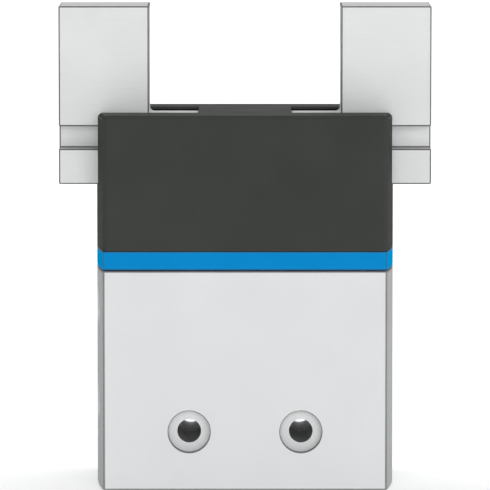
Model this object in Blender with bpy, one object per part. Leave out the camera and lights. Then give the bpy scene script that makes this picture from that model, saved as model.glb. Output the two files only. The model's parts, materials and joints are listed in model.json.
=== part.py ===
"""Parallel pneumatic gripper with two T-slot jaws, a lever drive and a 35 mm double-acting piston.

Frame: X is the jaws' travel, Y the depth (front is -Y), +Z up, origin at the middle of the bottom face.
Units are metres. The jaws stand open; the piston is at the top of its stroke.
"""
import math

import bmesh
import bpy
from mathutils import Matrix

MM = 0.001
GAP = 0.3 * MM  # running and seating clearance between pieces

# Body
HALF_DEPTH = 24.0 * MM
HALF_WIDTH = 42.8 * MM
SIDE_RADIUS = 132.0 * MM  # plan radius of the bulging side walls
BODY_TOP = 63.2 * MM
BODY_EDGE = 0.5 * MM
SHELL = 1.6 * MM  # wall of the cover and of the trim ring
RING_EDGE = 0.25 * MM
RING_TOP = 68.5 * MM
COVER_TOP = 107.7 * MM
COVER_EDGE = 1.0 * MM
COVER_ROOF = 0.8 * MM  # the jaws' bases run just under it

# Jaws
STROKE = 12.5 * MM
JAW_OUT = 53.5 * MM
JAW_IN = 27.6 * MM
JAW_BASE_IN = 13.2 * MM
JAW_TOP = 138.2 * MM
JAW_HALF_DEPTH = 11.3 * MM
JAW_NECK = 6.0 * MM
JAW_BOTTOM = 87.0 * MM
FLANGE_TOP = 97.2 * MM
NECK_TOP = 103.7 * MM
JAW_BASE_TOP = 106.6 * MM
JAW_EDGE = 0.4 * MM
JAW_FILLET = 1.3 * MM
FINGER_HOLE_HEIGHTS = {"low": 116.0 * MM, "high": 130.0 * MM}
FINGER_THREAD = 2.6 * MM
FINGER_SPIGOT = 4.5 * MM
FINGER_SPIGOT_DEPTH = 2.1 * MM
SLOT_END = 13.4 * MM  # inner end of each slot in the cover's top
SLOT_FLARE = 0.3 * MM

# Levers
LEVER_ARM = 16.0 * MM
LEVER_SWING = math.asin(0.5 * STROKE / LEVER_ARM)
PIVOT_X = 22.0 * MM
PIVOT_Z = 76.0 * MM
LEVER_HALF_THICK = 6.0 * MM
HUB_RADIUS = 7.0 * MM
JAW_TIP = 3.7 * MM
ROD_TIP = 3.0 * MM
LEVER_NECK = 2.0 * MM
PIN_RADIUS = 3.0 * MM
PIN_CHAMFER = 0.4 * MM
BUSH_WALL = 1.0 * MM
POCKET_HALF_LENGTH = 35.0 * MM
POCKET_FLOOR = 66.0 * MM

# Piston, rod and gland
BORE = 17.5 * MM
CHAMBER_FLOOR = 23.0 * MM
GLAND_SEAT = 52.0 * MM
GLAND_RADIUS = 19.2 * MM
PISTON_BOTTOM = 36.5 * MM
PISTON_LAND = 12.0 * MM  # height of the full-diameter part
PISTON_HEIGHT = 15.0 * MM
CROWN_RADIUS = 14.0 * MM
GROOVE_FLOOR = 14.0 * MM
ROD_RADIUS = 5.0 * MM
ROD_SOCKET = 4.0 * MM
SEAL_PLAY = 0.2 * MM  # axial play of a seal in its groove
HEAD_RECESS = 5.0 * MM
HEAD_RECESS_RADIUS = 5.0 * MM
PISTON_SCREW = {"radius": 2.5 * MM, "hole": 2.8 * MM, "head": 4.6 * MM, "height": 4.0 * MM}
PISTON_SCREW_HEX = {"radius": 2.3 * MM, "depth": 2.4 * MM}
PISTON_SCREW_REACH = 10.0 * MM
PISTON_GROOVES = {
    "piston_seal_lower": (0.9 * MM, 3.3 * MM),
    "piston_guide_band": (4.2 * MM, 5.6 * MM),
    "piston_magnet": (6.4 * MM, 8.0 * MM),
    "piston_seal_upper": (8.8 * MM, 11.2 * MM),
}
YOKE_HALF_WIDTH = 9.0 * MM
YOKE_FLANGE = 3.0 * MM
YOKE_WEB = 2.5 * MM
ROD_SEAL = {"radius": 8.0 * MM, "start": 1.5 * MM, "height": 3.6 * MM}
O_RING = {"depth": 1.9 * MM, "start": 3.0 * MM, "height": 2.4 * MM, "cord": 0.8 * MM}

# Fastening holes, ports and sensor grooves
MOUNT_X = 16.0 * MM
MOUNT_Z = 16.9 * MM
THREAD_RADIUS = 3.4 * MM
SLEEVE_RADIUS = 6.0 * MM
SLEEVE_DEPTH = 2.6 * MM
SLEEVE_CHAMFER = 0.2 * MM
RELIEF_RADIUS = 4.0 * MM
RELIEF = (1.0 * MM, 4.0 * MM)
BOTTOM_THREAD_DEPTH = 10.0 * MM
PORT_Y = -9.0 * MM
PORT_HEIGHTS = {"lower": 21.9 * MM, "upper": 49.75 * MM}
DUCT_HEIGHTS = {"lower": 24.6 * MM, "upper": 50.3 * MM}
PORT_FACE_X = -41.0 * MM
PORT_FACE_RADIUS = 8.0 * MM
PORT_RADIUS = 4.4 * MM
PORT_DEPTH = 10.0 * MM
PORT_CHAMFER = 0.6 * MM
DUCT_RADIUS = 1.2 * MM
DUCT_END = -14.0 * MM
THROTTLE_HEIGHT = 3.0 * MM
THROTTLE_BORE = 0.6 * MM
THROTTLE_SLOT = 0.4 * MM
SENSOR_Y = 12.0 * MM
SENSOR_DEPTH = 5.0 * MM
SENSOR_HALF = 2.6 * MM
SENSOR_MOUTH = 1.6 * MM
SENSOR_LIP = 2.0 * MM
SCREW_X = 31.0 * MM
SCREW_Y = 14.0 * MM
SCREW_RADIUS = 2.0 * MM
SCREW_HEAD = 3.5 * MM
SCREW_HEAD_HEIGHT = 4.0 * MM
SCREW_HEX_RADIUS = 1.7 * MM
SCREW_HEX_DEPTH = 2.0 * MM
SCREW_SEAT = 82.5 * MM
SCREW_END = 55.8 * MM

ARC_STEPS = 10
ROUND = 32
FINE = 24
SMALL = 16


def clear_scene():
    for obj in list(bpy.data.objects):
        bpy.data.objects.remove(obj, do_unlink=True)


def material(name, colour, roughness, metallic):
    mat = bpy.data.materials.new(name)
    mat.use_nodes = True
    shader = mat.node_tree.nodes["Principled BSDF"]
    shader.inputs["Base Color"].default_value = (*colour, 1.0)
    shader.inputs["Roughness"].default_value = roughness
    shader.inputs["Metallic"].default_value = metallic
    return mat


def add_object(name, bm, mat=None, location=(0.0, 0.0, 0.0)):
    """Turn a bmesh into a named object with outward faces."""
    bmesh.ops.recalc_face_normals(bm, faces=bm.faces)
    mesh = bpy.data.meshes.new(name)
    bm.to_mesh(mesh)
    bm.free()
    mesh.shade_smooth()
    mesh.set_sharp_from_angle(angle=math.radians(30.0))
    obj = bpy.data.objects.new(name, mesh)
    obj.location = location
    bpy.context.collection.objects.link(obj)
    if mat is not None:
        mesh.materials.append(mat)
    return obj


def prism_mesh(outline, low, high, axis):
    """Extrude a closed 2-D outline along an axis: outline pairs are (x, y), (x, z) or (y, z)."""
    place = {
        "Z": lambda u, v, w: (u, v, w),
        "Y": lambda u, v, w: (u, w, v),
        "X": lambda u, v, w: (w, u, v),
    }[axis]
    bm = bmesh.new()
    face = bm.faces.new([bm.verts.new(place(u, v, low)) for u, v in outline])
    moved = bmesh.ops.extrude_face_region(bm, geom=[face])
    verts = [item for item in moved["geom"] if isinstance(item, bmesh.types.BMVert)]
    bmesh.ops.translate(bm, verts=verts, vec=place(0.0, 0.0, high - low))
    return bm


def prism(name, outline, low, high, axis="Z", mat=None):
    return add_object(name, prism_mesh(outline, low, high, axis), mat)


def box(name, x, y, z, mat=None):
    """A box from three (low, high) pairs."""
    outline = [(x[0], y[0]), (x[1], y[0]), (x[1], y[1]), (x[0], y[1])]
    return prism(name, outline, z[0], z[1], "Z", mat)


def turned(name, profile, axis="Z", steps=ROUND, mat=None, location=(0.0, 0.0, 0.0)):
    """Spin a closed (radius, height) profile round an axis; a radius of 0 lies on the axis."""
    bm = bmesh.new()
    rings = []
    for radius, height in profile:
        if radius == 0.0:
            rings.append([bm.verts.new((0.0, 0.0, height))] * steps)
            continue
        angles = [2.0 * math.pi * i / steps for i in range(steps)]
        rings.append([bm.verts.new((radius * math.cos(a), radius * math.sin(a), height)) for a in angles])
    for ring, after in zip(rings, rings[1:] + rings[:1]):
        for i in range(steps):
            corners = [ring[i], ring[(i + 1) % steps], after[(i + 1) % steps], after[i]]
            distinct = list(dict.fromkeys(corners))
            if len(distinct) > 2:
                bm.faces.new(distinct)
    turn = {"Z": None, "Y": (-math.pi / 2.0, "X"), "X": (math.pi / 2.0, "Y")}[axis]
    if turn:
        rotate(bm, *turn)
    return add_object(name, bm, mat, location)


def rotate(bm, angle, axis):
    bmesh.ops.rotate(bm, verts=bm.verts, cent=(0.0, 0.0, 0.0), matrix=Matrix.Rotation(angle, 3, axis))


def rounded(obj, width, segments=2):
    """Round every sharp edge of a plain solid."""
    bevel = obj.modifiers.new("edges", "BEVEL")
    bevel.width = width
    bevel.segments = segments
    bevel.limit_method = "ANGLE"
    bevel.angle_limit = math.radians(40.0)


def combine(obj, tool, operation):
    """Boolean with a hidden tool object, which the model leaves out."""
    tool.hide_render = True
    tool.display_type = "WIRE"
    boolean = obj.modifiers.new(tool.name, "BOOLEAN")
    boolean.operation = operation
    boolean.object = tool


def cut(obj, *tools):
    for tool in tools:
        combine(obj, tool, "DIFFERENCE")


def join(obj, *tools):
    for tool in tools:
        combine(obj, tool, "UNION")


def body_outline(inset=0.0):
    """Plan of the body: flat front and back, bulging sides, drawn in by an inset."""
    depth = HALF_DEPTH - inset
    radius = SIDE_RADIUS - inset
    centre = HALF_WIDTH - SIDE_RADIUS
    half_angle = math.asin(depth / radius)
    side = []
    for i in range(ARC_STEPS + 1):
        angle = half_angle * (2.0 * i / ARC_STEPS - 1.0)
        side.append((centre + radius * math.cos(angle), radius * math.sin(angle)))
    return side + [(-x, -y) for x, y in side]


def cylinder(name, radius, low, high, axis="Z", location=(0.0, 0.0, 0.0), steps=FINE):
    return turned(name, [(0.0, low), (radius, low), (radius, high), (0.0, high)], axis, steps, None, location)


def stepped(name, spans, axis="Z", location=(0.0, 0.0, 0.0), steps=FINE, mat=None):
    """A solid of revolution from (radius, low, high) spans that follow each other."""
    profile = [(0.0, spans[0][1])]
    for radius, low, high in spans:
        profile += [(radius, low), (radius, high)]
    profile.append((0.0, spans[-1][2]))
    return turned(name, profile, axis, steps, mat, location)


def ring(name, inner, outer, low, high, mat, axis="Z", location=(0.0, 0.0, 0.0), steps=ROUND):
    profile = [(inner, low), (outer, low), (outer, high), (inner, high)]
    return turned(name, profile, axis, steps, mat, location)


def mount_hole(name, x):
    """Through hole from front to back: sleeve recess, thread, relief in the middle, thread."""
    front = -HALF_DEPTH
    spans = [
        (SLEEVE_RADIUS + SLEEVE_CHAMFER, front - MM, front),
        (SLEEVE_RADIUS, front + SLEEVE_CHAMFER, front + SLEEVE_DEPTH),
        (THREAD_RADIUS, front + SLEEVE_DEPTH, RELIEF[0]),
        (RELIEF_RADIUS, *RELIEF),
        (THREAD_RADIUS, RELIEF[1], HALF_DEPTH + MM),
    ]
    return stepped(name, spans, "Y", (x, 0.0, MOUNT_Z), ROUND)


def port_hole(name, height, duct_height):
    """Spot face, thread and duct of one air port, along X from the left side."""
    spans = [
        (PORT_FACE_RADIUS, -HALF_WIDTH - MM, PORT_FACE_X),
        (PORT_RADIUS + PORT_CHAMFER, PORT_FACE_X, PORT_FACE_X + 0.01 * MM),
        (PORT_RADIUS, PORT_FACE_X + PORT_CHAMFER, PORT_FACE_X + PORT_DEPTH),
    ]
    tool = stepped(name, spans, "X", (0.0, PORT_Y, height), ROUND)
    duct = cylinder(
        name + "_duct", DUCT_RADIUS, PORT_FACE_X + PORT_DEPTH - MM, DUCT_END, "X",
        (0.0, PORT_Y, duct_height), SMALL,
    )
    return tool, duct


def sensor_groove(name, side):
    """C-shaped sensor groove up one side of the body, on its rear half."""
    wall = HALF_WIDTH + MM
    lip = HALF_WIDTH - SENSOR_LIP
    floor = HALF_WIDTH - SENSOR_DEPTH
    half = [(wall, SENSOR_MOUTH), (lip, SENSOR_MOUTH), (lip, SENSOR_HALF), (floor, SENSOR_HALF)]
    outline = [(side * x, SENSOR_Y + y) for x, y in half]
    outline += [(side * x, SENSOR_Y - y) for x, y in reversed(half)]
    return prism(name, outline, -MM, BODY_TOP + MM)


def screw_places():
    for depth, y in (("front", -SCREW_Y), ("rear", SCREW_Y)):
        for side, x in (("left", -SCREW_X), ("right", SCREW_X)):
            yield depth + "_" + side, x, y


def make_cylinder_body(mat):
    body = prism("cylinder_body", body_outline(), 0.0, BODY_TOP, "Z", mat)
    rounded(body, BODY_EDGE)
    chamber = [(BORE, CHAMBER_FLOOR, GLAND_SEAT), (GLAND_RADIUS + GAP, GLAND_SEAT, BODY_TOP + MM)]
    cut(body, stepped("chamber_cut", chamber, steps=ROUND))
    for side, x in (("left", -MOUNT_X), ("right", MOUNT_X)):
        cut(body, mount_hole("mount_cut_" + side, x))
        bottom = [(SLEEVE_RADIUS, -MM, SLEEVE_DEPTH), (THREAD_RADIUS, SLEEVE_DEPTH, BOTTOM_THREAD_DEPTH)]
        cut(body, stepped("bottom_cut_" + side, bottom, location=(x, 0.0, 0.0)))
    for level, height in PORT_HEIGHTS.items():
        cut(body, *port_hole("port_cut_" + level, height, DUCT_HEIGHTS[level]))
    cut(body, sensor_groove("sensor_cut_left", -1), sensor_groove("sensor_cut_right", 1))
    for place, x, y in screw_places():
        cut(body, cylinder("thread_cut_" + place, SCREW_RADIUS + GAP, SCREW_END - 0.5 * MM, BODY_TOP + MM,
                           location=(x, y, 0.0), steps=SMALL))


def make_guide_body(mat):
    """Upper aluminium block with the T-slot for the jaws and the pocket for the levers."""
    top = NECK_TOP - GAP
    floor = JAW_BOTTOM - GAP
    guide = prism("guide_body", body_outline(SHELL + GAP), BODY_TOP + GAP, top, "Z", mat)
    wide = JAW_HALF_DEPTH + GAP
    narrow = JAW_NECK + GAP
    lip = FLANGE_TOP + GAP
    tee = [(-wide, floor), (wide, floor), (wide, lip), (narrow, lip), (narrow, top + MM)]
    tee += [(-narrow, top + MM), (-narrow, lip), (-wide, lip)]
    cut(guide, prism("tee_slot_cut", tee, -HALF_WIDTH, HALF_WIDTH, "X"))
    pocket = LEVER_HALF_THICK + 2.0 * GAP
    cut(guide, box("lever_pocket_cut", (-POCKET_HALF_LENGTH, POCKET_HALF_LENGTH), (-pocket, pocket),
                   (POCKET_FLOOR, floor + MM)))
    well = YOKE_HALF_WIDTH + 2.0 * GAP
    cut(guide, box("yoke_well_cut", (-well, well), (-pocket, pocket), (BODY_TOP - MM, POCKET_FLOOR + MM)))
    for side, x in (("left", -PIVOT_X), ("right", PIVOT_X)):
        cut(guide, cylinder("pin_cut_" + side, PIN_RADIUS + GAP, -HALF_DEPTH, HALF_DEPTH, "Y",
                            (x, 0.0, PIVOT_Z)))
    for place, x, y in screw_places():
        spans = [
            (SCREW_RADIUS + GAP, BODY_TOP - MM, SCREW_SEAT - GAP),
            (SCREW_HEAD + GAP, SCREW_SEAT - GAP, top + MM),
        ]
        cut(guide, stepped("screw_cut_" + place, spans, location=(x, y, 0.0), steps=SMALL))


def make_trim_ring(mat):
    trim = prism("trim_ring", body_outline(), BODY_TOP + GAP, RING_TOP, "Z", mat)
    rounded(trim, RING_EDGE, 1)
    cut(trim, prism("trim_cut", body_outline(SHELL), BODY_TOP - MM, RING_TOP + MM))


def cover_slot(side):
    """Opening for one jaw: a slot in the top, flared at its rim and open at the side."""
    wide = JAW_HALF_DEPTH + 2.0 * GAP
    span = sorted((side * SLOT_END, side * (HALF_WIDTH + MM)))
    name = "slot_cut_left" if side < 0 else "slot_cut_right"
    plain = box(name, span, (-wide, wide), (JAW_BOTTOM - 2.0 * GAP, COVER_TOP + MM))
    rim = [(wide, COVER_TOP - SLOT_FLARE), (wide + 2.0 * SLOT_FLARE, COVER_TOP + SLOT_FLARE)]
    outline = [(-y, z) for y, z in rim] + [(y, z) for y, z in reversed(rim)]
    return plain, prism(name + "_rim", outline, span[0], span[1], "X")


def make_cover(mat):
    cover = prism("cover", body_outline(), RING_TOP + GAP, COVER_TOP, "Z", mat)
    rounded(cover, COVER_EDGE, 3)
    cut(cover, prism("cover_hollow_cut", body_outline(SHELL), RING_TOP - MM,
                     COVER_TOP - COVER_ROOF))
    cut(cover, *cover_slot(-1), *cover_slot(1))


def jaw_outline(side):
    """Side view of a jaw: upright finger block on a base, with a fillet between them."""
    corner = (JAW_IN - JAW_FILLET, JAW_BASE_TOP + JAW_FILLET)
    points = [(JAW_OUT, JAW_BOTTOM), (JAW_OUT, JAW_TOP), (JAW_IN, JAW_TOP)]
    for i in range(7):
        angle = 0.5 * math.pi * i / 6
        points.append((corner[0] + JAW_FILLET * math.cos(angle), corner[1] - JAW_FILLET * math.sin(angle)))
    points += [(JAW_BASE_IN, JAW_BASE_TOP), (JAW_BASE_IN, JAW_BOTTOM)]
    return [(side * x, z) for x, z in points]


def finger_hole(name, side, height):
    """Cross hole for bolting on a finger, with a sleeve recess on the outer face."""
    spans = [
        (FINGER_THREAD, JAW_IN - MM, JAW_OUT - FINGER_SPIGOT_DEPTH),
        (FINGER_SPIGOT, JAW_OUT - FINGER_SPIGOT_DEPTH, JAW_OUT + MM),
    ]
    if side < 0:
        spans = [(radius, -high, -low) for radius, low, high in reversed(spans)]
    return stepped(name, spans, "X", (0.0, 0.0, height))


def make_jaw(name, side, mat):
    jaw = prism(name, jaw_outline(side), -JAW_HALF_DEPTH, JAW_HALF_DEPTH, "Y", mat)
    rounded(jaw, JAW_EDGE)
    reach = sorted((side * (JAW_BASE_IN - MM), side * (JAW_OUT + MM)))
    outside = JAW_HALF_DEPTH + MM
    for depth, span in (("front", (-outside, -JAW_NECK)), ("rear", (JAW_NECK, outside))):
        cut(jaw, box(name + "_groove_" + depth, reach, span, (FLANGE_TOP, NECK_TOP)))
    tip_x = PIVOT_X + 0.5 * STROKE
    half = JAW_TIP + GAP
    slot = sorted((side * (tip_x - half), side * (tip_x + half)))
    width = LEVER_HALF_THICK + 2.0 * GAP
    top = PIVOT_Z + LEVER_ARM + JAW_TIP + GAP
    cut(jaw, box(name + "_lever_slot", slot, (-width, width), (JAW_BOTTOM - MM, top)))
    for place, height in FINGER_HOLE_HEIGHTS.items():
        cut(jaw, finger_hole(name + "_hole_" + place, side, height))


def arc(centre, radius, start, stop, steps):
    """Points along an arc, both ends included; angles in radians."""
    angles = [start + (stop - start) * i / steps for i in range(steps + 1)]
    return [(centre[0] + radius * math.cos(a), centre[1] + radius * math.sin(a)) for a in angles]


def lever_outline(side):
    """Hub with an arm up to the jaw and an arm inwards to the rod, each ending in a round tip."""
    points = []
    root = math.asin(LEVER_NECK / HUB_RADIUS)
    for heading, radius in ((0.0, ROD_TIP), (0.5 * math.pi, JAW_TIP)):
        tip = (LEVER_ARM * math.cos(heading), LEVER_ARM * math.sin(heading))
        turn = math.pi - math.asin(LEVER_NECK / radius)
        points += arc(tip, radius, heading - turn, heading + turn, 16)
        following = 0.5 * math.pi if heading == 0.0 else 2.0 * math.pi
        points += arc((0.0, 0.0), HUB_RADIUS, heading + root, following - root, 4 if heading == 0.0 else 16)
    return [(-side * x, z) for x, z in points]


def make_lever(side, steel, bronze):
    """Bell crank on its own pivot, swung to the open end of its travel, with its bush and pin."""
    name = "left" if side < 0 else "right"
    pivot = (side * PIVOT_X, 0.0, PIVOT_Z)
    thick = LEVER_HALF_THICK
    lever = prism(name + "_lever", lever_outline(side), -thick, thick, "Y", steel)
    bush_outer = PIN_RADIUS + GAP + BUSH_WALL
    eye = cylinder(name + "_lever_eye", bush_outer + GAP, -thick - MM, thick + MM, "Y")
    cut(lever, eye)
    bush = ring(name + "_lever_bush", PIN_RADIUS + GAP, bush_outer, -thick, thick, bronze, "Y", steps=FINE)
    hinge = bpy.data.objects.new(name + "_lever_hinge", None)
    bpy.context.collection.objects.link(hinge)
    hinge.location = pivot
    hinge.rotation_euler = (0.0, side * LEVER_SWING, 0.0)
    for piece in (lever, bush, eye):
        piece.parent = hinge
    half = HALF_DEPTH - SHELL - 2.0 * GAP
    profile = [(0.0, -half), (PIN_RADIUS - PIN_CHAMFER, -half), (PIN_RADIUS, PIN_CHAMFER - half)]
    profile += [(radius, -height) for radius, height in reversed(profile)]
    turned(name + "_lever_pin", profile, "Y", FINE, steel, pivot)


def piston_profile(inner):
    """Half section of the piston with four outer grooves; heights are from its bottom face."""
    profile = list(inner)
    profile += [(BORE - GAP, 0.0)]
    for low, high in PISTON_GROOVES.values():
        profile += [(BORE - GAP, low), (GROOVE_FLOOR, low), (GROOVE_FLOOR, high), (BORE - GAP, high)]
    profile += [(BORE - GAP, PISTON_LAND), (CROWN_RADIUS, PISTON_LAND), (CROWN_RADIUS, PISTON_HEIGHT)]
    return profile


def make_piston_group(aluminium, steel, dark_steel, rubber, band, magnet):
    place = (0.0, 0.0, PISTON_BOTTOM)
    hole = PISTON_SCREW["hole"]
    inner = [
        (ROD_RADIUS + GAP, PISTON_HEIGHT), (ROD_RADIUS + GAP, PISTON_HEIGHT - ROD_SOCKET),
        (hole, PISTON_HEIGHT - ROD_SOCKET), (hole, HEAD_RECESS),
        (HEAD_RECESS_RADIUS, HEAD_RECESS), (HEAD_RECESS_RADIUS, 0.0),
    ]
    turned("piston", piston_profile(inner), "Z", ROUND, aluminium, place)
    fills = {
        "piston_seal_lower": rubber, "piston_seal_upper": rubber,
        "piston_guide_band": band, "piston_magnet": magnet,
    }
    for name, mat in fills.items():
        low, high = PISTON_GROOVES[name]
        ring(name, GROOVE_FLOOR + GAP, BORE - GAP, low + SEAL_PLAY, high - SEAL_PLAY, mat, location=place)
    socket = PISTON_BOTTOM + PISTON_HEIGHT - ROD_SOCKET + GAP
    make_piston_rod(steel, socket)
    seat = PISTON_BOTTOM + HEAD_RECESS - GAP
    foot = seat - PISTON_SCREW["height"]
    spans = [(PISTON_SCREW["head"], foot, seat), (PISTON_SCREW["radius"], seat, socket + PISTON_SCREW_REACH)]
    screw = stepped("piston_screw", spans, steps=FINE, mat=dark_steel)
    cut(screw, cylinder("piston_screw_hex", PISTON_SCREW_HEX["radius"], foot - MM,
                        foot + PISTON_SCREW_HEX["depth"], steps=6))


def make_piston_rod(steel, socket):
    """Rod with a yoke: a block with a side notch for the tip of each lever."""
    centre = PIVOT_Z + 0.5 * STROKE
    notch = ROD_TIP + GAP
    bottom = centre - notch - YOKE_FLANGE
    top = centre + notch + YOKE_FLANGE
    rod = cylinder("piston_rod", ROD_RADIUS, socket, bottom + MM)
    rod.data.materials.append(steel)
    half = LEVER_HALF_THICK
    join(rod, box("yoke_block", (-YOKE_HALF_WIDTH, YOKE_HALF_WIDTH), (-half, half), (bottom, top)))
    for side, name in ((-1, "left"), (1, "right")):
        span = sorted((side * YOKE_WEB, side * (YOKE_HALF_WIDTH + MM)))
        cut(rod, box("yoke_notch_" + name, span, (-half - MM, half + MM), (centre - notch, centre + notch)))
    cut(rod, cylinder("rod_thread_cut", PISTON_SCREW["hole"], socket - MM,
                      socket + PISTON_SCREW_REACH + MM, steps=FINE))


def make_gland(mat, rubber):
    """Rod bearing closing the chamber, with its O-ring and rod seal."""
    low = GLAND_SEAT + GAP
    high = BODY_TOP - GAP
    bore = ROD_RADIUS + GAP
    seal_outer = ROD_SEAL["radius"]
    seal_low = low + ROD_SEAL["start"]
    seal_high = seal_low + ROD_SEAL["height"]
    ring_floor = GLAND_RADIUS - O_RING["depth"]
    ring_low = low + O_RING["start"]
    ring_high = ring_low + O_RING["height"]
    profile = [
        (bore, low), (GLAND_RADIUS, low), (GLAND_RADIUS, ring_low), (ring_floor, ring_low),
        (ring_floor, ring_high), (GLAND_RADIUS, ring_high), (GLAND_RADIUS, high), (bore, high),
        (bore, seal_high), (seal_outer, seal_high), (seal_outer, seal_low), (bore, seal_low),
    ]
    turned("rod_gland", profile, "Z", ROUND, mat)
    ring("rod_seal", bore, seal_outer - GAP, seal_low + GAP, seal_high - GAP, rubber, steps=FINE)
    cord = O_RING["cord"]
    centre = ring_floor + GAP + cord
    middle = 0.5 * (ring_low + ring_high)
    section = [
        (centre + cord * math.cos(math.pi * i / 3.0), middle + cord * math.sin(math.pi * i / 3.0))
        for i in range(6)
    ]
    turned("gland_o_ring", section, "Z", ROUND, rubber)


def make_guide_screws(mat):
    for place, x, y in screw_places():
        head = SCREW_SEAT + SCREW_HEAD_HEIGHT
        spans = [(SCREW_RADIUS, SCREW_END, SCREW_SEAT), (SCREW_HEAD, SCREW_SEAT, head)]
        screw = stepped("guide_screw_" + place, spans, location=(x, y, 0.0), steps=SMALL, mat=mat)
        cut(screw, cylinder("hex_cut_" + place, SCREW_HEX_RADIUS, head - SCREW_HEX_DEPTH, head + MM,
                            location=(x, y, 0.0), steps=6))


def make_throttles(mat):
    """Brass restrictor at the bottom of each air port."""
    seat = PORT_FACE_X + PORT_DEPTH - GAP
    mouth = seat - THROTTLE_HEIGHT
    radius = PORT_RADIUS - GAP
    for level, height in PORT_HEIGHTS.items():
        place = (0.0, PORT_Y, height)
        throttle = ring("port_throttle_" + level, THROTTLE_BORE, radius, mouth, seat, mat, "X", place, FINE)
        slot = (mouth - MM, mouth + MM)
        cut(throttle, box("throttle_slot_" + level, slot, (PORT_Y - radius - MM, PORT_Y + radius + MM),
                          (height - THROTTLE_SLOT, height + THROTTLE_SLOT)))


def main():
    clear_scene()
    silver = material("anodised_silver", (0.72, 0.73, 0.74), 0.45, 0.6)
    graphite = material("cover_plastic", (0.05, 0.052, 0.05), 0.5, 0.0)
    blue = material("trim_blue", (0.0, 0.23, 0.62), 0.4, 0.0)
    jaw_steel = material("jaw_steel", (0.74, 0.74, 0.74), 0.35, 0.7)
    steel = material("ground_steel", (0.6, 0.6, 0.62), 0.3, 1.0)
    dark_steel = material("screw_steel", (0.12, 0.12, 0.13), 0.45, 0.9)
    bronze = material("bearing_bronze", (0.55, 0.36, 0.16), 0.4, 1.0)
    brass = material("brass", (0.72, 0.52, 0.2), 0.35, 1.0)
    rubber = material("seal_rubber", (0.03, 0.03, 0.03), 0.7, 0.0)
    band = material("guide_band_plastic", (0.5, 0.42, 0.3), 0.5, 0.0)
    magnet = material("plastic_magnet", (0.1, 0.09, 0.08), 0.6, 0.0)

    make_cylinder_body(silver)
    make_guide_body(silver)
    make_trim_ring(blue)
    make_cover(graphite)
    make_jaw("left_jaw", -1, jaw_steel)
    make_jaw("right_jaw", 1, jaw_steel)
    make_lever(-1, steel, bronze)
    make_lever(1, steel, bronze)
    make_piston_group(silver, steel, dark_steel, rubber, band, magnet)
    make_gland(silver, rubber)
    make_guide_screws(dark_steel)
    make_throttles(brass)


main()
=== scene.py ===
"""Looks of a parallel pneumatic gripper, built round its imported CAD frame.

Frame: X is the jaws' travel, Y the depth (front is -Y), +Z up, in metres. The outer pieces are rebuilt
here with fine edges, rims and threads; the inner pieces keep their CAD shape and get better finishes.
"""

import json
import math

import bmesh
import bpy
from mathutils import Matrix, Vector


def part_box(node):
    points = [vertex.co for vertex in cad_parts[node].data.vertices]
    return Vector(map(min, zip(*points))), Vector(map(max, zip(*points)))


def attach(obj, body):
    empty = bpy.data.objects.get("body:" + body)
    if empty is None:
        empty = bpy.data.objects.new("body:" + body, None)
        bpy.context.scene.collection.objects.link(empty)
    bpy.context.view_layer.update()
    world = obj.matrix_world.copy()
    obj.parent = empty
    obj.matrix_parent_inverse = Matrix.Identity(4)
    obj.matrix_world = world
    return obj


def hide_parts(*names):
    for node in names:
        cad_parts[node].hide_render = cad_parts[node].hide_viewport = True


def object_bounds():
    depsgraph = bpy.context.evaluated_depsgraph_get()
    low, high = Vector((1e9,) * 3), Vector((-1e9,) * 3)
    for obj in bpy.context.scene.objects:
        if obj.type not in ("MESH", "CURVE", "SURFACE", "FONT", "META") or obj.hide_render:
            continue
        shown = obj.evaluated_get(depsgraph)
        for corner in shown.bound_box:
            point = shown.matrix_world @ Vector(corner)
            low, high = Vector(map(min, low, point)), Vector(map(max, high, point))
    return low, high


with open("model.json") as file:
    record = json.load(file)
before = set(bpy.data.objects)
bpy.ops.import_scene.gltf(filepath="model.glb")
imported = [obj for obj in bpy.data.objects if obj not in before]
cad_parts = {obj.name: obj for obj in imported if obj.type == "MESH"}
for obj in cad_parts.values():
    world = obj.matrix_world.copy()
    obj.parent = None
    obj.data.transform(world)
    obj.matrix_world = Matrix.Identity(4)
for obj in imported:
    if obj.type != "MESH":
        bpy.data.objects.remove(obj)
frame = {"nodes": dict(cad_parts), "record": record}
cad_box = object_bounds()

MM = 0.001
GAP = 0.3 * MM  # clearance between neighbouring pieces

# Places read from the frame
BODY_LOW, BODY_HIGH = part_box("cylinder_body")
HALF_WIDTH = BODY_HIGH.x
HALF_DEPTH = BODY_HIGH.y
BODY_TOP = BODY_HIGH.z
RING_LOW, RING_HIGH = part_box("trim_ring")
COVER_LOW, COVER_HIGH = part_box("cover")
GUIDE_LOW, GUIDE_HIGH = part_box("guide_body")
JAW_LOW, JAW_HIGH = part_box("right_jaw")
GLAND_LOW, GLAND_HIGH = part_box("rod_gland")
OPENINGS = {
    opening["name"]: [0.5 * (low + high) for low, high in zip(*opening["box_m"])]
    for opening in frame["record"]["physics"]["openings"]
}

# Body
SIDE_RADIUS = 132.0 * MM
SHELL = 1.6 * MM
BODY_EDGE = 0.5 * MM
COVER_EDGE = 1.0 * MM
EDGE_BREAK = 0.16 * MM  # fine rounding where a chamfer meets its faces; it takes the cover's darker edge copy, a painted shade line
SEAM = 0.06 * MM  # between the trim and the cover
COVER_ROOF = 0.8 * MM
ARC_STEPS = 40

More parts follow.
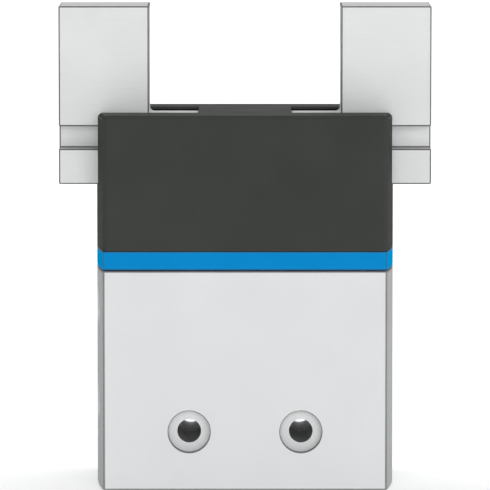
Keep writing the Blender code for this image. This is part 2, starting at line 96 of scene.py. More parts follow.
# Cylinder chamber and fastening holes
BORE = 17.5 * MM
CHAMBER_FLOOR = 23.0 * MM
SLEEVE_RADIUS = 6.0 * MM
SLEEVE_DEPTH = 2.6 * MM
HOLE_RADIUS = 3.4 * MM
HOLE_RIM = 0.2 * MM
HOLE_MOUTH = 0.35 * MM  # chamfer at the back
THREAD_DEPTH = 0.55 * MM
THREAD_PITCH = 1.25 * MM
CORE_OVERLAP = 0.02 * MM  # a thread's cutter starts this far inside its bore
RELIEF = (1.0 * MM, 4.0 * MM)
RELIEF_DEPTH = 0.6 * MM
BOTTOM_DEPTH = 10.0 * MM
BOTTOM_THREAD = (2.3 * MM, 8.8 * MM)
PORT_FACE_X = -41.0 * MM
PORT_FACE_RADIUS = 8.0 * MM
PORT_RADIUS = 4.4 * MM
PORT_DEPTH = 10.0 * MM
PORT_CHAMFER = 0.6 * MM
PORT_PITCH = 0.907 * MM
PORT_THREAD_DEPTH = 0.45 * MM
PORT_THREAD = (-41.2 * MM, -34.6 * MM)
DUCT_RADIUS = 1.2 * MM
DUCT_END = -14.0 * MM
DUCT_RISE = {"lower_port": 2.7 * MM, "upper_port": 0.55 * MM}
SENSOR_Y = 12.0 * MM
SENSOR_HALF = 2.6 * MM
SENSOR_MOUTH = 1.6 * MM
SENSOR_LIP = 2.0 * MM
SENSOR_DEPTH = 5.0 * MM
SENSOR_FLARE = (0.9 * MM, 0.7 * MM)  # extra half width outside, and depth
GLAND_CHAMFER = (0.4 * MM, 1.4 * MM)
SCREW_RADIUS = 2.0 * MM
SCREW_END = 55.3 * MM
SCREW_HEAD_HEIGHT = 4.0 * MM
SMALL_EDGE = 0.25 * MM

# Jaws and their guide
JAW_IN = 27.6 * MM
JAW_BASE_TOP = 106.6 * MM
JAW_NECK = 6.0 * MM
FLANGE_TOP = 97.2 * MM
NECK_TOP = 103.7 * MM
JAW_EDGE = 0.4 * MM
JAW_FILLET = 1.3 * MM
FINGER_HEIGHTS = {"low": 116.0 * MM, "high": 130.0 * MM}
FINGER_THREAD = 2.55 * MM
FINGER_SPIGOT = 4.5 * MM
FINGER_SPIGOT_DEPTH = 2.1 * MM
FINGER_CHAMFER = 0.4 * MM
FINGER_RIM = 0.2 * MM
FINGER_THREAD_DEPTH = 0.45 * MM
JET_CHAMFER = 0.35 * MM
JET_HOLE = 0.6 * MM
JET_SLOT = 0.4 * MM
SLOT_END = 13.4 * MM
SLOT_FLARE = 0.3 * MM
TIP_X = 28.25 * MM
LEVER_SLOT = (4.0 * MM, 6.6 * MM, 96.0 * MM)  # half width, half depth and top of the slot in a jaw
POCKET = (35.0 * MM, 6.6 * MM, 66.0 * MM)  # half length, half depth and floor of the lever pocket
WELL = 9.6 * MM

# Camera
LENS = 386.4
CAMERA_PLACE = (0.0, -1.5177, 0.2190)
CAMERA_TILT = math.radians(84.33)

BASE, EDGE, BORED, DEEP, SIDE = range(5)  # material slots of a machined piece; EDGE and DEEP hold copies painted darker as shade, SIDE a copy with painted shade on the body and painted light on the trim and cover


# ---------------------------------------------------------------- materials

def new_material(name):
    """A node material with its shader."""
    mat = bpy.data.materials.new(name)
    mat.use_nodes = True
    return mat, mat.node_tree.nodes["Principled BSDF"]


def noise(tree, stretch, scale, detail):
    """Noise in the piece's own coordinates, stretched by a factor along each axis."""
    coordinates = tree.nodes.new("ShaderNodeTexCoord")
    mapping = tree.nodes.new("ShaderNodeMapping")
    mapping.inputs["Scale"].default_value = stretch
    texture = tree.nodes.new("ShaderNodeTexNoise")
    texture.inputs["Scale"].default_value = scale
    texture.inputs["Detail"].default_value = detail
    tree.links.new(coordinates.outputs["Object"], mapping.inputs["Vector"])
    tree.links.new(mapping.outputs["Vector"], texture.inputs["Vector"])
    return texture.outputs["Fac"]


def blend_colours(tree, factor, first, second):
    mix = tree.nodes.new("ShaderNodeMix")
    mix.data_type = "RGBA"
    mix.inputs["A"].default_value = (*first, 1.0)
    mix.inputs["B"].default_value = (*second, 1.0)
    tree.links.new(factor, mix.inputs["Factor"])
    return mix.outputs["Result"]


def spread(tree, value, low, high, source=(0.3, 0.7)):
    """Maps a texture's usual range onto low to high."""
    node = tree.nodes.new("ShaderNodeMapRange")
    node.inputs["From Min"].default_value = source[0]
    node.inputs["From Max"].default_value = source[1]
    node.inputs["To Min"].default_value = low
    node.inputs["To Max"].default_value = high
    tree.links.new(value, node.inputs["Value"])
    return node.outputs["Result"]


def bump(tree, height, strength, distance, before=None):
    node = tree.nodes.new("ShaderNodeBump")
    node.inputs["Strength"].default_value = strength
    node.inputs["Distance"].default_value = distance
    tree.links.new(height, node.inputs["Height"])
    if before is not None:
        tree.links.new(before, node.inputs["Normal"])
    return node.outputs["Normal"]


def finish(name, light, dark, metallic, roughness, stretch, grain, relief, specular=0.5, patch=60.0):
    """A surface with fine directional grain, faint clouding of its colour and an uneven gloss."""
    mat, shader = new_material(name)
    tree = mat.node_tree
    clouds = noise(tree, (1.0, 1.0, 1.0), patch, 4.0)
    lines = noise(tree, stretch, grain, 3.0)
    both = tree.nodes.new("ShaderNodeMix")
    both.inputs["Factor"].default_value = 0.5
    tree.links.new(clouds, both.inputs["A"])
    tree.links.new(lines, both.inputs["B"])
    shade = spread(tree, both.outputs["Result"], 0.0, 1.0)
    tree.links.new(blend_colours(tree, shade, light, dark), shader.inputs["Base Color"])
    tree.links.new(spread(tree, clouds, *roughness), shader.inputs["Roughness"])
    fine = noise(tree, (1.0, 1.0, 1.0), 2.2 * grain, 2.0)
    normal = bump(tree, lines, relief, 0.02 * MM)
    tree.links.new(bump(tree, fine, 0.6 * relief, 0.02 * MM, normal), shader.inputs["Normal"])
    shader.inputs["Metallic"].default_value = metallic
    shader.inputs["Specular IOR Level"].default_value = specular
    return mat


def scaled(colour, factor):
    return tuple(channel * factor for channel in colour)


def make_finishes():
    """One finish for each of the record's slots, and extra copies for machined pieces: darker ones with
    painted shade for edges, deep bores and the body's sides, lighter ones with painted light for the trim's
    and cover's sides.
    """
    silver = (0.70, 0.705, 0.71)
    steel = (0.70, 0.705, 0.705)
    plastic = (0.038, 0.041, 0.037)
    blue = (0.0, 0.235, 0.575)
    along_x = (0.12, 1.0, 1.0)
    upright = (1.0, 1.0, 0.10)
    even = (1.0, 1.0, 1.0)
    return {
        "anodised_silver": finish("anodised_silver", silver, scaled(silver, 0.97), 0.08, (0.46, 0.58),
                                  even, 2600.0, 0.10, 0.12),
        # Darker copy for bevelled edges: painted shade.
        "silver_edge_painted_shade": finish("silver_edge_painted_shade", scaled(silver, 0.42), scaled(silver, 0.30), 0.45, (0.40, 0.55),
                              even, 1500.0, 0.15, 0.3),
        "bored_aluminium": finish("bored_aluminium", scaled(silver, 0.98), scaled(silver, 0.90), 0.15,
                                  (0.34, 0.46), even, 1800.0, 0.12, 0.2),
        # Darker copy for the mount bores: painted shade inside the holes.
        "deep_bore_painted_shade": finish("deep_bore_painted_shade", scaled(silver, 0.52), scaled(silver, 0.44), 0.25, (0.40, 0.52),
                            upright, 1800.0, 0.15, 0.2),
        # Darker copy for the body's side walls: painted shade where light grazes them.
        "silver_side_painted_shade": finish("silver_side_painted_shade", scaled(silver, 0.68), scaled(silver, 0.64), 0.0, (0.60, 0.72),
                              upright, 2200.0, 0.15, 0.02),
        # Lighter copy for the cover's chamfer and side walls: painted light.
        "cover_side_painted_light": finish("cover_side_painted_light", scaled(plastic, 1.35), scaled(plastic, 1.25), 0.0, (0.66, 0.78),
                             even, 2200.0, 0.35, 0.03),
        # Lighter blue for the trim's side walls: painted light.
        "trim_side_painted_light": finish("trim_side_painted_light", (0.0, 0.33, 0.72), (0.0, 0.31, 0.69), 0.0, (0.60, 0.72), along_x,
                            1500.0, 0.12, 0.0),
        "cover_plastic": finish("cover_plastic", plastic, scaled(plastic, 0.88), 0.0, (0.50, 0.62),
                                even, 2200.0, 0.35, 0.14),
        # Darker copy for the cover's fine edges and slot rims: painted shade.
        "cover_edge_painted_shade": finish("cover_edge_painted_shade", scaled(plastic, 0.75), scaled(plastic, 0.6), 0.0, (0.5, 0.6),
                             even, 1800.0, 0.30, 0.3),
        "trim_blue": finish("trim_blue", blue, scaled(blue, 0.94), 0.0, (0.42, 0.54), along_x, 1500.0,
                            0.12, 0.04),
        # Darker blue for the trim's edges: painted shade.
        "trim_edge_painted_shade": finish("trim_edge_painted_shade", scaled(blue, 0.5), scaled(blue, 0.4), 0.0, (0.4, 0.5), along_x,
                            1500.0, 0.12, 0.3),
        "jaw_steel": finish("jaw_steel", steel, scaled(steel, 0.95), 0.10, (0.40, 0.52), along_x, 1900.0,
                            0.14, 0.15),
        # Darker copy for the jaws' edges: painted shade.
        "jaw_edge_painted_shade": finish("jaw_edge_painted_shade", scaled(steel, 0.26), scaled(steel, 0.16), 0.5, (0.35, 0.5), even,
                           1500.0, 0.15, 0.35),
        "ground_steel": finish("ground_steel", (0.55, 0.55, 0.56), (0.45, 0.45, 0.46), 1.0, (0.2, 0.35),
                               along_x, 1800.0, 0.15),
        "screw_steel": finish("screw_steel", (0.10, 0.10, 0.11), (0.06, 0.06, 0.065), 0.8, (0.4, 0.55),
                              even, 1500.0, 0.25),
        "bearing_bronze": finish("bearing_bronze", (0.50, 0.33, 0.16), (0.36, 0.23, 0.10), 0.9,
                                 (0.35, 0.55), even, 2400.0, 0.5),
        "piston_aluminium": finish("piston_aluminium", (0.70, 0.70, 0.72), (0.60, 0.60, 0.62), 0.9,
                                   (0.3, 0.42), upright, 1600.0, 0.15),
        "seal_rubber": finish("seal_rubber", (0.022, 0.022, 0.023), (0.014, 0.014, 0.015), 0.0,
                              (0.6, 0.8), even, 1200.0, 0.4),
        "guide_band_plastic": finish("guide_band_plastic", (0.42, 0.34, 0.22), (0.34, 0.26, 0.16), 0.0,
                                     (0.45, 0.6), even, 2000.0, 0.3),
        "plastic_magnet": finish("plastic_magnet", (0.06, 0.055, 0.05), (0.035, 0.03, 0.03), 0.3,
                                 (0.5, 0.7), even, 2600.0, 0.5),
        "brass": finish("brass", (0.66, 0.47, 0.18), (0.52, 0.36, 0.12), 1.0, (0.22, 0.38), upright,
                        1700.0, 0.2),
    }


# ---------------------------------------------------------------- mesh tools

def add_object(name, bm, slot=BASE, location=(0.0, 0.0, 0.0)):
    """Turn a bmesh into a named object with outward faces, all in one material slot."""
    bmesh.ops.recalc_face_normals(bm, faces=bm.faces)
    for face in bm.faces:
        face.material_index = slot
    mesh = bpy.data.meshes.new(name)
    bm.to_mesh(mesh)
    bm.free()
    for _ in range(SIDE + 1):
        mesh.materials.append(None)
    obj = bpy.data.objects.new(name, mesh)
    obj.location = location
    bpy.context.scene.collection.objects.link(obj)
    return obj


def prism(name, outline, low, high, axis="Z", slot=BASE):
    """Extrude a closed 2-D outline along an axis: outline pairs are (x, y), (x, z) or (y, z)."""
    place = {
        "Z": lambda u, v, w: (u, v, w),
        "Y": lambda u, v, w: (u, w, v),
        "X": lambda u, v, w: (w, u, v),
    }[axis]
    bm = bmesh.new()
    face = bm.faces.new([bm.verts.new(place(u, v, low)) for u, v in outline])
    moved = bmesh.ops.extrude_face_region(bm, geom=[face])
    verts = [item for item in moved["geom"] if isinstance(item, bmesh.types.BMVert)]
    bmesh.ops.translate(bm, verts=verts, vec=place(0.0, 0.0, high - low))
    return add_object(name, bm, slot)


def block(name, x, y, z, slot=BASE):
    """A cutter from three (low, high) pairs."""
    outline = [(x[0], y[0]), (x[1], y[0]), (x[1], y[1]), (x[0], y[1])]
    return prism(name, outline, z[0], z[1], "Z", slot)


def turn_to(bm, axis):
    """Lay a shape that was made along Z along another axis."""
    turn = {"Z": None, "Y": (-math.pi / 2.0, "X"), "X": (math.pi / 2.0, "Y")}[axis]
    if turn:
        matrix = Matrix.Rotation(turn[0], 3, turn[1])
        bmesh.ops.rotate(bm, verts=bm.verts, cent=(0.0, 0.0, 0.0), matrix=matrix)


def bridge(bm, rings, closed):
    """Faces between rings of vertices that follow each other; repeated corners are dropped."""
    pairs = list(zip(rings, rings[1:]))
    if closed:
        pairs.append((rings[-1], rings[0]))
    for ring, after in pairs:
        steps = len(ring)
        for i in range(steps):
            corners = [ring[i], ring[(i + 1) % steps], after[(i + 1) % steps], after[i]]
            distinct = list(dict.fromkeys(corners))
            if len(distinct) > 2:
                bm.faces.new(distinct)


def turned(name, profile, axis="Z", steps=72, slot=BORED, location=(0.0, 0.0, 0.0)):
    """Spin a closed (radius, height) profile round an axis; a radius of 0 lies on the axis."""
    bm = bmesh.new()
    rings = []
    for radius, height in profile:
        if radius == 0.0:
            rings.append([bm.verts.new((0.0, 0.0, height))] * steps)
            continue
        angles = [2.0 * math.pi * i / steps for i in range(steps)]
        rings.append([bm.verts.new((radius * math.cos(a), radius * math.sin(a), height)) for a in angles])
    bridge(bm, rings, True)
    turn_to(bm, axis)
    return add_object(name, bm, slot, location)


def threaded(name, core, depth, pitch, low, high, axis="Z", location=(0.0, 0.0, 0.0)):
    """A screw-shaped cutter: a V-shaped ridge winds round a core from low to high."""
    steps = 40
    per_turn = 5
    count = round(per_turn * (high - low) / pitch)
    bm = bmesh.new()
    rings = []
    for i in range(count + 1):
        height = low + (high - low) * i / count
        ring = []
        for k in range(steps):
            phase = ((height - low) / pitch - k / steps) % 1.0
            radius = core + depth * (1.0 - abs(2.0 * phase - 1.0))
            angle = 2.0 * math.pi * k / steps
            ring.append(bm.verts.new((radius * math.cos(angle), radius * math.sin(angle), height)))
        rings.append(ring)
    bridge(bm, rings, False)
    bm.faces.new(rings[0])
    bm.faces.new(rings[-1])
    turn_to(bm, axis)
    return add_object(name, bm, BORED, location)


def apply_modifiers(obj):
    graph = bpy.context.evaluated_depsgraph_get()
    mesh = bpy.data.meshes.new_from_object(obj.evaluated_get(graph), depsgraph=graph)
    old = obj.data
    obj.modifiers.clear()
    obj.data = mesh
    bpy.data.meshes.remove(old)
    mesh.name = obj.name


def carve(obj, *tools, operation="DIFFERENCE"):
    """Boolean with each tool in turn; the tools are used up."""
    for tool in tools:
        boolean = obj.modifiers.new(tool.name, "BOOLEAN")
        boolean.operation = operation
        boolean.object = tool
    apply_modifiers(obj)
    for tool in tools:
        bpy.data.objects.remove(tool)


def soften(obj, width, segments=3, slot=EDGE, angle=35.0):
    """Round the sharp edges of a solid; the new faces take the given slot, by default the edge slot, whose
    copies are painted darker as shade.
    """
    bevel = obj.modifiers.new("edges", "BEVEL")
    bevel.width = width
    bevel.segments = segments
    bevel.limit_method = "ANGLE"
    bevel.angle_limit = math.radians(angle)
    bevel.material = slot
    apply_modifiers(obj)


def paint_shade_in_recesses(obj):
    """The narrow walls of the front sleeve recesses take the darker edge copy: painted shade in the
    recesses.
    """
    floor = SLEEVE_DEPTH - HALF_DEPTH - 0.05 * MM
    for face in obj.data.polygons:
        if face.material_index == BORED and face.center.y < floor and abs(face.normal.y) < 0.9:
            face.material_index = EDGE


def paint_light_and_shade_on_sides(obj):
    """The bulging side walls take the side slot: a copy with painted shade on the body, with painted light
    on the trim and cover.
    """
    for face in obj.data.polygons:
        outside = abs(face.normal.x) > 0.9 and abs(face.center.x) > 0.9 * HALF_WIDTH
        if face.material_index == BASE and outside:
            face.material_index = SIDE


def complete(obj, body, nodes, mats):
    """Materials, smooth shading, a parent empty for the piece's body, and hiding the CAD nodes it replaces.
    """
    for index, mat in enumerate(mats):
        obj.data.materials[index] = mat
    while len(obj.data.materials) > len(mats):
        obj.data.materials.pop()
    obj.data.shade_smooth()
    obj.data.set_sharp_from_angle(angle=math.radians(32.0))
    normals = obj.modifiers.new("even_normals", "WEIGHTED_NORMAL")
    normals.keep_sharp = True
    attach(obj, body)
    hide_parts(*nodes)


# ---------------------------------------------------------------- shapes

def body_outline(inset=0.0):
    """Plan of the body: flat front and back, bulging sides, drawn in by an inset."""
    depth = HALF_DEPTH - inset
    radius = SIDE_RADIUS - inset
    centre = HALF_WIDTH - SIDE_RADIUS
    half_angle = math.asin(depth / radius)
    side = []
    for i in range(ARC_STEPS + 1):
        angle = half_angle * (2.0 * i / ARC_STEPS - 1.0)
        side.append((centre + radius * math.cos(angle), radius * math.sin(angle)))
    return side + [(-x, -y) for x, y in side]


def arc(centre, radius, start, stop, steps):
    """Points along an arc, both ends included; angles in degrees."""
    angles = [math.radians(start + (stop - start) * i / steps) for i in range(steps + 1)]
    return [(centre[0] + radius * math.cos(a), centre[1] + radius * math.sin(a)) for a in angles]


def mount_hole(name, x, z):
    """Through hole from front to back: sleeve recess, then a bore with a relief in the middle."""
    front = -HALF_DEPTH
    back = HALF_DEPTH
    floor = front + SLEEVE_DEPTH
    relief = HOLE_RADIUS + RELIEF_DEPTH
    recess = [
        (0.0, front - MM), (SLEEVE_RADIUS + HOLE_RIM + MM, front - MM), (SLEEVE_RADIUS, front + HOLE_RIM),
        (SLEEVE_RADIUS, floor), (0.0, floor),
    ]
    bore = [
        (0.0, floor - MM), (HOLE_RADIUS, floor - MM), (HOLE_RADIUS, RELIEF[0]), (relief, RELIEF[0]),
        (relief, RELIEF[1]), (HOLE_RADIUS, RELIEF[1]), (HOLE_RADIUS, back - HOLE_MOUTH),
        (HOLE_RADIUS + HOLE_MOUTH + MM, back + MM), (0.0, back + MM),
    ]
    place = (x, 0.0, z)
    # The bore takes the deep slot, painted darker as shade inside the hole.
    return turned(name, recess, "Y", location=place), turned(name + "_bore", bore, "Y", 72, DEEP, place)


def bottom_hole(name, x, y):
    """Blind tapped hole from below, with a sleeve recess and a drill point."""
    recess = [
        (0.0, -MM), (SLEEVE_RADIUS + HOLE_RIM + MM, -MM), (SLEEVE_RADIUS, HOLE_RIM),
        (SLEEVE_RADIUS, SLEEVE_DEPTH), (HOLE_RADIUS + THREAD_DEPTH, SLEEVE_DEPTH),
        (HOLE_RADIUS, SLEEVE_DEPTH + THREAD_DEPTH), (HOLE_RADIUS, BOTTOM_DEPTH),
        (0.0, BOTTOM_DEPTH + 0.5 * HOLE_RADIUS),
    ]
    thread = threaded(name + "_thread", HOLE_RADIUS - CORE_OVERLAP, THREAD_DEPTH, THREAD_PITCH,
                      *BOTTOM_THREAD, "Z", (x, y, 0.0))
    return turned(name, recess, location=(x, y, 0.0)), thread


def port_hole(name, centre, rise):
    """Spot face, chamfer, thread and duct of one air port, along X from the left side."""
    floor = PORT_FACE_X + PORT_DEPTH
    profile = [
        (0.0, -HALF_WIDTH - MM), (PORT_FACE_RADIUS, -HALF_WIDTH - MM), (PORT_FACE_RADIUS, PORT_FACE_X),
        (PORT_RADIUS + PORT_CHAMFER, PORT_FACE_X), (PORT_RADIUS, PORT_FACE_X + PORT_CHAMFER),
        (PORT_RADIUS, floor), (0.0, floor),
    ]
    place = (0.0, centre[1], centre[2])
    port = turned(name, profile, "X", location=place)
    thread = threaded(name + "_thread", PORT_RADIUS - CORE_OVERLAP, PORT_THREAD_DEPTH, PORT_PITCH,
                      *PORT_THREAD, "X", place)
    duct = [(0.0, floor - MM), (DUCT_RADIUS, floor - MM), (DUCT_RADIUS, DUCT_END), (0.0, DUCT_END)]
    passage = turned(name + "_duct", duct, "X", 24, BORED, (0.0, centre[1], centre[2] + rise))
    return port, thread, passage


def sensor_groove(name, side):
    """C-shaped sensor groove up one side of the body: narrow mouth, round-bottomed channel."""
    lip = HALF_WIDTH - SENSOR_LIP
    round_x = HALF_WIDTH - SENSOR_DEPTH + SENSOR_HALF
    extra, depth = SENSOR_FLARE
    flare = [(HALF_WIDTH + MM, SENSOR_MOUTH + extra), (HALF_WIDTH - depth, SENSOR_MOUTH)]
    half_channel = flare + [(lip, SENSOR_MOUTH), (lip, SENSOR_HALF)]
    half_channel += arc((round_x, 0.0), SENSOR_HALF, 90.0, 180.0, 10)
    outline = half_channel + [(x, -y) for x, y in reversed(half_channel[:-1])]
    outline = [(side * x, SENSOR_Y + y) for x, y in outline]
    return prism(name, outline, -MM, BODY_TOP + MM, "Z", BORED)


def make_body(finishes):
    body = prism("machined_body", body_outline(), 0.0, BODY_TOP)
    soften(body, BODY_EDGE)
    gland = GLAND_HIGH.x + GAP
    seat = GLAND_LOW.z - GAP
    profile = [
        (0.0, CHAMBER_FLOOR), (BORE, CHAMBER_FLOOR), (BORE, seat), (gland, seat),
        (gland, BODY_TOP - GLAND_CHAMFER[0]), (gland + GLAND_CHAMFER[1], BODY_TOP + MM),
        (0.0, BODY_TOP + MM),
    ]
    tools = [turned("chamber", profile)]
    for side in ("left", "right"):
        x, _, z = OPENINGS[side + "_mount_hole"]
        tools.extend(mount_hole("mount_" + side, x, z))
        tools.extend(bottom_hole("bottom_" + side, *OPENINGS[side + "_bottom_hole"][:2]))
    for port, rise in DUCT_RISE.items():
        tools.extend(port_hole(port, OPENINGS[port], rise))
    tools += [sensor_groove("sensor_left", -1), sensor_groove("sensor_right", 1)]
    for name in guide_screws():
        low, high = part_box(name)
        middle = 0.5 * (low + high)
        profile = [(0.0, SCREW_END), (SCREW_RADIUS + GAP, SCREW_END), (SCREW_RADIUS + GAP, BODY_TOP + MM),
                   (0.0, BODY_TOP + MM)]
        tools.append(turned("thread_" + name, profile, steps=32, location=(middle.x, middle.y, 0.0)))
    carve(body, *tools)
    # The edge, deep-bore and side slots take darker copies of the silver: painted shade.
    names = ("anodised_silver", "silver_edge_painted_shade", "bored_aluminium", "deep_bore_painted_shade", "silver_side_painted_shade")
    mats = [finishes[name] for name in names]
    paint_light_and_shade_on_sides(body)
    paint_shade_in_recesses(body)
    complete(body, "housing", ["cylinder_body"], mats)


def guide_screws():
    return sorted(name for name in frame["nodes"] if name.startswith("guide_screw"))


def make_guide(finishes):
    """Upper block: T-slot with relieved corners, lever pocket, pin bores and screw counterbores."""
    top = GUIDE_HIGH.z
    floor = JAW_LOW.z - GAP
    guide = prism("guide_block", body_outline(SHELL + GAP), GUIDE_LOW.z, top)
    wide = JAW_HIGH.y + GAP
    narrow = JAW_NECK + GAP
    lip = FLANGE_TOP + GAP
    tee = [(-wide, floor), (wide, floor), (wide, lip), (narrow, lip), (narrow, top + MM)]
    tee += [(-narrow, top + MM), (-narrow, lip), (-wide, lip)]
    carve(guide, prism("tee_slot", tee, -HALF_WIDTH, HALF_WIDTH, "X", BORED))
    soften(guide, SMALL_EDGE, 2)
    reach, deep, pocket_floor = POCKET
    tools = [
        block("lever_pocket", (-reach, reach), (-deep, deep), (pocket_floor, floor + MM), BORED),
        block("yoke_well", (-WELL, WELL), (-deep, deep), (BODY_TOP - MM, pocket_floor + MM), BORED),
    ]
    for side in ("left", "right"):
        low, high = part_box(side + "_lever_pin")
        middle = 0.5 * (low + high)
        radius = 0.5 * (high.x - low.x) + GAP
        profile = [(0.0, -HALF_DEPTH), (radius, -HALF_DEPTH), (radius, HALF_DEPTH), (0.0, HALF_DEPTH)]
        tools.append(turned("pin_" + side, profile, "Y", 40, location=(middle.x, 0.0, middle.z)))
    for name in guide_screws():
        low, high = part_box(name)
        middle = 0.5 * (low + high)
        head = 0.5 * (high.x - low.x) + GAP
        shank = SCREW_RADIUS + GAP
        seat = high.z - SCREW_HEAD_HEIGHT - GAP
        profile = [
            (0.0, BODY_TOP - MM), (shank, BODY_TOP - MM), (shank, seat), (head, seat),
            (head, top + MM), (0.0, top + MM),
        ]
        tools.append(turned("screw_" + name, profile, steps=40, location=(middle.x, middle.y, 0.0)))
    carve(guide, *tools)
    # The edge slot takes the darker silver copy: painted shade.
    mats = [finishes["anodised_silver"], finishes["silver_edge_painted_shade"], finishes["bored_aluminium"]]
    complete(guide, "housing", ["guide_body"], mats)


def make_trim(finishes):
    trim = prism("blue_trim", body_outline(), RING_LOW.z, COVER_LOW.z - SEAM)
    soften(trim, SMALL_EDGE, 2)
    carve(trim, prism("trim_inside", body_outline(SHELL), RING_LOW.z - MM, RING_HIGH.z + MM))
    # The edge slot takes a darker blue, painted shade; the side slot a lighter blue, painted light.
    names = ("trim_blue", "trim_edge_painted_shade", "trim_blue", "trim_blue", "trim_side_painted_light")
    mats = [finishes[name] for name in names]
    paint_light_and_shade_on_sides(trim)
    complete(trim, "housing", ["trim_ring"], mats)


def cover_slot(side):
    """Opening for one jaw: a slot in the top with a flared rim, open at the side."""
    wide = JAW_HIGH.y + 2.0 * GAP
    top = COVER_HIGH.z
    name = "slot_left" if side < 0 else "slot_right"
    span = sorted((side * SLOT_END, side * (HALF_WIDTH + MM)))
    plain = block(name, span, (-wide, wide), (JAW_LOW.z - 2.0 * GAP, top + MM))
    # The flared rim takes the edge slot, the cover's darker copy: painted shade along the slot.
    rim = [(wide, top - SLOT_FLARE), (wide + 2.0 * SLOT_FLARE, top + SLOT_FLARE)]
    outline = [(-y, z) for y, z in rim] + [(y, z) for y, z in reversed(rim)]
    return plain, prism(name + "_rim", outline, span[0], span[1], "X", EDGE)


def make_cover(finishes):
    spare = 5.0 * MM
    cover = prism("graphite_cover", body_outline(), COVER_LOW.z - spare, COVER_HIGH.z)
    # The chamfer round the top takes the side slot, the cover's lighter copy: painted light.
    soften(cover, COVER_EDGE, 1, SIDE)
    below = (COVER_LOW.z - 2.0 * spare, COVER_LOW.z)
    carve(cover, block("cover_foot", (-2.0 * HALF_WIDTH, 2.0 * HALF_WIDTH), (-0.1, 0.1), below, EDGE))
    # The fine rounding takes the edge slot, the cover's darker copy: a painted shade line.
    soften(cover, EDGE_BREAK, 2, EDGE, 25.0)
    hollow = prism("cover_inside", body_outline(SHELL), COVER_LOW.z - MM, COVER_HIGH.z - COVER_ROOF)
    carve(cover, hollow, *cover_slot(-1), *cover_slot(1))
    # The edge slot takes a darker plastic, painted shade; the side slot a lighter plastic, painted light.
    names = ("cover_plastic", "cover_edge_painted_shade", "cover_plastic", "cover_plastic", "cover_side_painted_light")
    mats = [finishes[name] for name in names]
    paint_light_and_shade_on_sides(cover)
    complete(cover, "housing", ["cover"], mats)


def jaw_side_view(side):
    """Upright finger block on a base, with a fillet between them, as (x, z) points."""
    base_in = JAW_LOW.x
    corner = (JAW_IN - JAW_FILLET, JAW_BASE_TOP + JAW_FILLET)
    points = [(JAW_HIGH.x, JAW_LOW.z), (JAW_HIGH.x, JAW_HIGH.z), (JAW_IN, JAW_HIGH.z)]
    points += arc(corner, JAW_FILLET, 0.0, -90.0, 12)
    points += [(base_in, JAW_BASE_TOP), (base_in, JAW_LOW.z)]
    return [(side * x, z) for x, z in points]


def jaw_end_view():
    """Finger block, neck and flange of the T-slot, as (y, z) points."""
    deep = JAW_HIGH.y
    half = [
        (deep, JAW_LOW.z), (deep, FLANGE_TOP), (JAW_NECK, FLANGE_TOP), (JAW_NECK, NECK_TOP),
        (deep, NECK_TOP), (deep, JAW_HIGH.z),
    ]
    return half + [(-y, z) for y, z in reversed(half)]


def finger_hole(name, side, height):
    """Tapped cross hole for a finger's screw, with a sleeve recess on the outer face."""
    outer = JAW_HIGH.x
    floor = outer - FINGER_SPIGOT_DEPTH
    wide = FINGER_THREAD + FINGER_CHAMFER
    rim = FINGER_SPIGOT + FINGER_RIM
    profile = [
        (0.0, JAW_IN - MM), (wide + MM, JAW_IN - MM), (FINGER_THREAD, JAW_IN + FINGER_CHAMFER),
        (FINGER_THREAD, floor - FINGER_CHAMFER), (wide, floor), (FINGER_SPIGOT, floor),
        (FINGER_SPIGOT, outer - FINGER_RIM), (rim + MM, outer + MM), (0.0, outer + MM),
    ]
    profile = [(radius, side * x) for radius, x in profile]
    place = (0.0, 0.0, height)
    low, high = sorted((side * (JAW_IN - 0.5 * MM), side * (floor + 0.1 * MM)))
    thread = threaded(name + "_thread", FINGER_THREAD - CORE_OVERLAP, FINGER_THREAD_DEPTH, MM, low, high,
                      "X", place)
    return turned(name, profile, "X", 64, BORED, place), thread


def make_jaw(side, finishes):
    word = "left" if side < 0 else "right"
    name = word + "_jaw_block"
    jaw = prism(name, jaw_side_view(side), -JAW_HIGH.y - MM, JAW_HIGH.y + MM, "Y")
    carve(jaw, prism(name + "_section", jaw_end_view(), -0.1, 0.1, "X"), operation="INTERSECT")
    soften(jaw, JAW_EDGE)
    half_width, half_depth, top = LEVER_SLOT
    slot = sorted((side * (TIP_X - half_width), side * (TIP_X + half_width)))
    tools = [block(name + "_lever_slot", slot, (-half_depth, half_depth), (JAW_LOW.z - MM, top), BORED)]
    for place, height in FINGER_HEIGHTS.items():
        tools.extend(finger_hole(name + "_hole_" + place, side, height))
    carve(jaw, *tools)
    # The edge slot takes the darker steel copy: painted shade.
    mats = [finishes["jaw_steel"], finishes["jaw_edge_painted_shade"], finishes["jaw_steel"]]
    complete(jaw, "jaw_" + word, [word + "_jaw"], mats)


def make_throttle(level, finishes):
    """Slotted brass jet at the bottom of an air port."""
    node = "port_throttle_" + level
    low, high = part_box(node)
    middle = 0.5 * (low + high)
    radius = 0.5 * (high.y - low.y)
    flat = radius - JET_CHAMFER
    profile = [
        (JET_HOLE + JET_CHAMFER, low.x), (flat, low.x), (radius, low.x + JET_CHAMFER),
        (radius, high.x - JET_CHAMFER), (flat, high.x), (JET_HOLE, high.x),
        (JET_HOLE, low.x + JET_CHAMFER),
    ]
    jet = turned(level + "_port_jet", profile, "X", 56, BASE, (0.0, middle.y, middle.z))
    slot = block(level + "_jet_slot", (low.x - MM, low.x + MM), (low.y - MM, high.y + MM),
                 (middle.z - JET_SLOT, middle.z + JET_SLOT))
    carve(jet, slot)
    complete(jet, "housing", [node], [finishes["brass"]])


def finish_inner_nodes(finishes):
    """The CAD nodes that stay: each material slot of theirs takes the finish of the record's slot."""
    slots = {part["node"]: part["material_slot"] for part in frame["record"]["subparts"]}
    for name, obj in frame["nodes"].items():
        if obj.hide_render:
            continue
        mat = finishes[slots[name]]
        for material_slot in obj.material_slots:
            material_slot.material = mat


# ---------------------------------------------------------------- studio

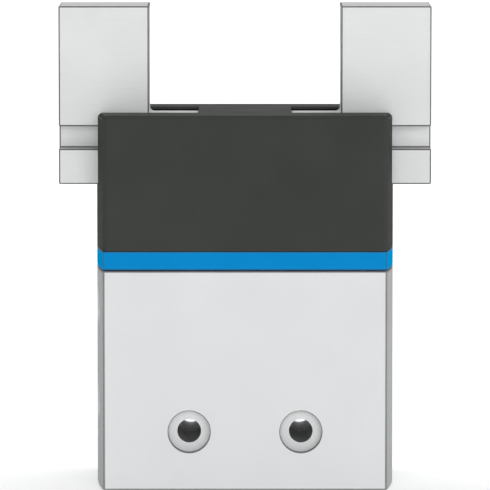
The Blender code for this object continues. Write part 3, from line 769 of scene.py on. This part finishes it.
def soft_light(name, place, target, size, power):
    light = bpy.data.lights.new(name, "AREA")
    light.shape = "RECTANGLE"
    light.size, light.size_y = size
    light.energy = power
    obj = bpy.data.objects.new(name, light)
    obj.location = place
    obj.rotation_euler = (Vector(target) - Vector(place)).to_track_quat("-Z", "Y").to_euler()
    obj.visible_camera = False
    bpy.context.scene.collection.objects.link(obj)


def make_studio():
    scene = bpy.context.scene
    scene.view_settings.view_transform = "Standard"
    world = bpy.data.worlds.new("studio")
    world.use_nodes = True
    background = world.node_tree.nodes["Background"]
    background.inputs["Color"].default_value = (0.97, 0.985, 1.0, 1.0)
    background.inputs["Strength"].default_value = 0.22
    scene.world = world
    centre = (0.0, 0.0, 0.07)
    soft_light("front_softbox", (0.3, -2.5, 0.65), centre, (2.4, 1.5), 36.0)
    soft_light("right_softbox", (2.2, -0.6, 1.0), centre, (1.2, 1.2), 5.0)
    soft_light("overhead_softbox", (0.0, 1.6, 1.8), (0.0, 1.6, 0.0), (4.4, 3.4), 60.0)

    floor_half = 6.0
    bm = bmesh.new()
    bmesh.ops.create_grid(bm, x_segments=1, y_segments=1, size=floor_half)
    floor = add_object("floor", bm)
    mat, shader = new_material("pale_floor")
    tone = noise(mat.node_tree, (1.0, 1.0, 1.0), 3.0, 2.0)
    colour = blend_colours(mat.node_tree, tone, (0.93, 0.93, 0.93), (0.90, 0.90, 0.90))
    mat.node_tree.links.new(colour, shader.inputs["Base Color"])
    shader.inputs["Roughness"].default_value = 0.9
    shader.inputs["Specular IOR Level"].default_value = 0.1
    shader.inputs["Emission Color"].default_value = (1.0, 1.0, 1.0, 1.0)
    shader.inputs["Emission Strength"].default_value = 0.3
    floor.data.materials[0] = mat
    floor.location.z = cad_box[0].z - 0.05 * MM

    camera = bpy.data.cameras.new("camera")
    camera.sensor_width = 36.0
    camera.lens = LENS
    view = bpy.data.objects.new("camera", camera)
    view.location = CAMERA_PLACE
    view.rotation_euler = (CAMERA_TILT, 0.0, 0.0)
    scene.collection.objects.link(view)
    scene.camera = view


finishes = make_finishes()
make_body(finishes)
make_guide(finishes)
make_trim(finishes)
make_cover(finishes)
for side in (-1, 1):
    make_jaw(side, finishes)
for level in ("lower", "upper"):
    make_throttle(level, finishes)
finish_inner_nodes(finishes)
make_studio()
